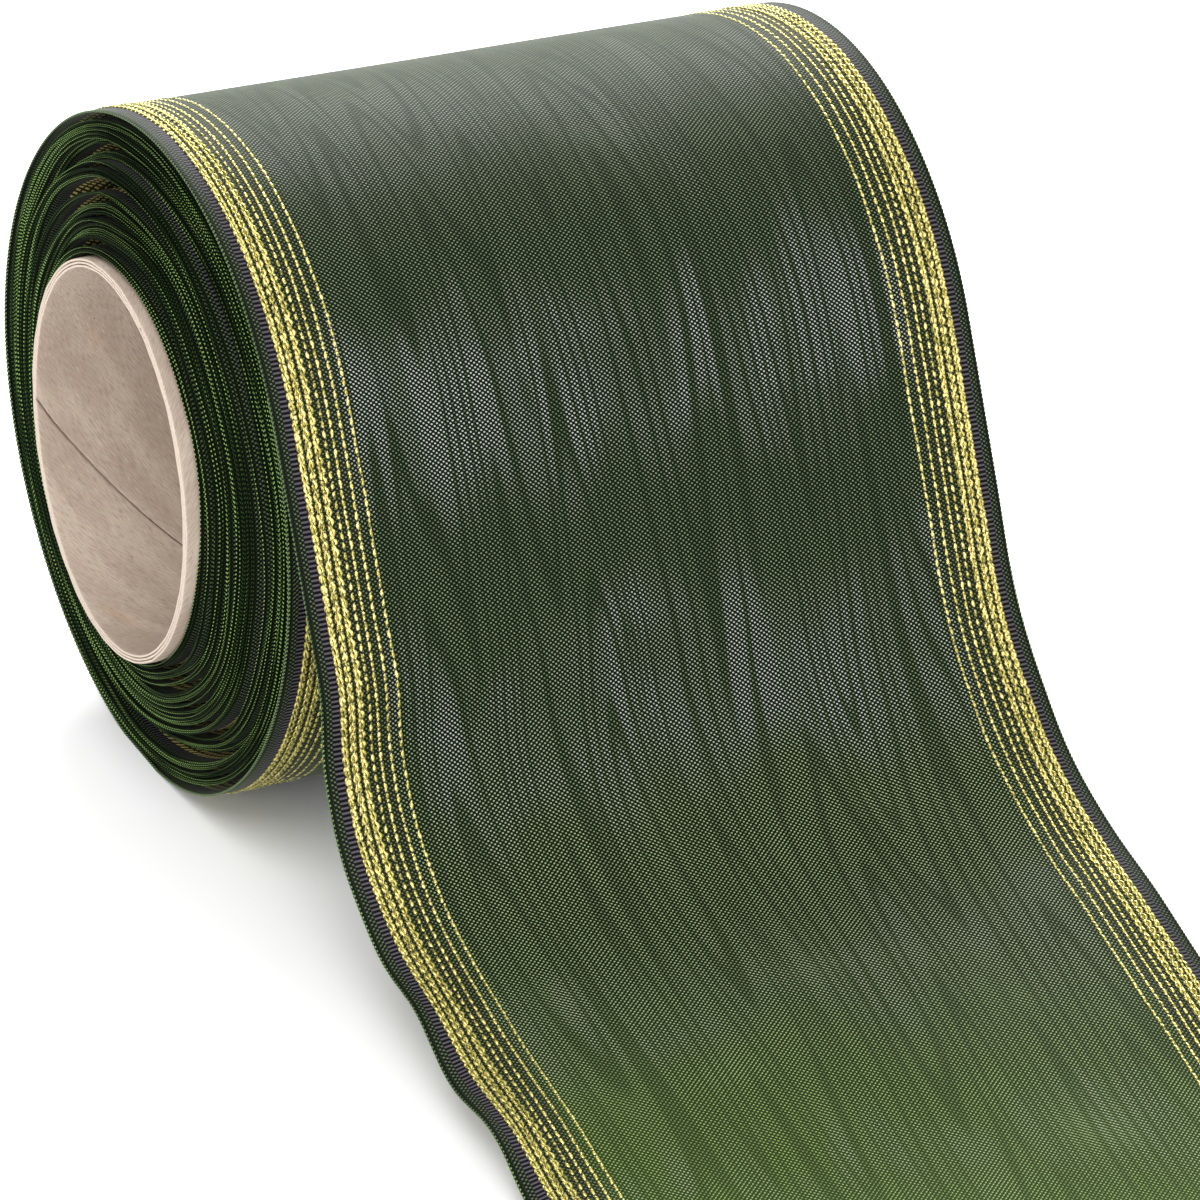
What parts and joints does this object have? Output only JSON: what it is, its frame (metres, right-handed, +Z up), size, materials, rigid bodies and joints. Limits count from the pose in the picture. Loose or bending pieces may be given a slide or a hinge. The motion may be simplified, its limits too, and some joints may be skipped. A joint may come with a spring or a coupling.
{
  "type": "ribbon spool",
  "caption": "Roll of wide woven moire ribbon with metallic edge stripes on a paperboard tube core, its free end run off the front to the floor.",
  "frame": {"origin": "on the core's bore axis, half way across the outermost turn of ribbon", "axes": "+X along the bore towards the roll's right-hand end, -Y towards the free end, +Z up"},
  "size_m": [0.106, 0.249, 0.0921],
  "materials": {
    "core_board": "matt kraft board",
    "start_tape": "clear adhesive tape",
    "ribbon_ground": "moire taffeta",
    "ribbon_gold": "metallic thread",
    "ribbon_border": "ribbed woven edge"
  },
  "bodies": {
    "outer_turn": {"outer_turn_selvedge_left": "ribbon_border", "outer_turn_gold_left": "ribbon_gold", "outer_turn_ground": "ribbon_ground", "outer_turn_gold_right": "ribbon_gold", "outer_turn_selvedge_right": "ribbon_border"},
    "roll": {"core_inner_ply": "core_board", "core_middle_ply": "core_board", "core_outer_ply": "core_board", "start_tape": "start_tape", "wound_ribbon": "ribbon_ground"},
    "tail": {"tail_selvedge_left": "ribbon_border", "tail_gold_left": "ribbon_gold", "tail_ground": "ribbon_ground", "tail_gold_right": "ribbon_gold", "tail_selvedge_right": "ribbon_border"}
  },
  "joints": [
    {"name": "roll_spin", "type": "hinge", "parent": "outer_turn", "child": "roll", "pos_m": [0, 0, 0], "axis": [1, 0, 0], "continuous": true},
    {"name": "tail_lift", "type": "hinge", "parent": "outer_turn", "child": "tail", "pos_m": [0, -0.05801, -0.00871], "axis": [-1, 0, 0], "range_deg": [0, 70]}
  ]
}
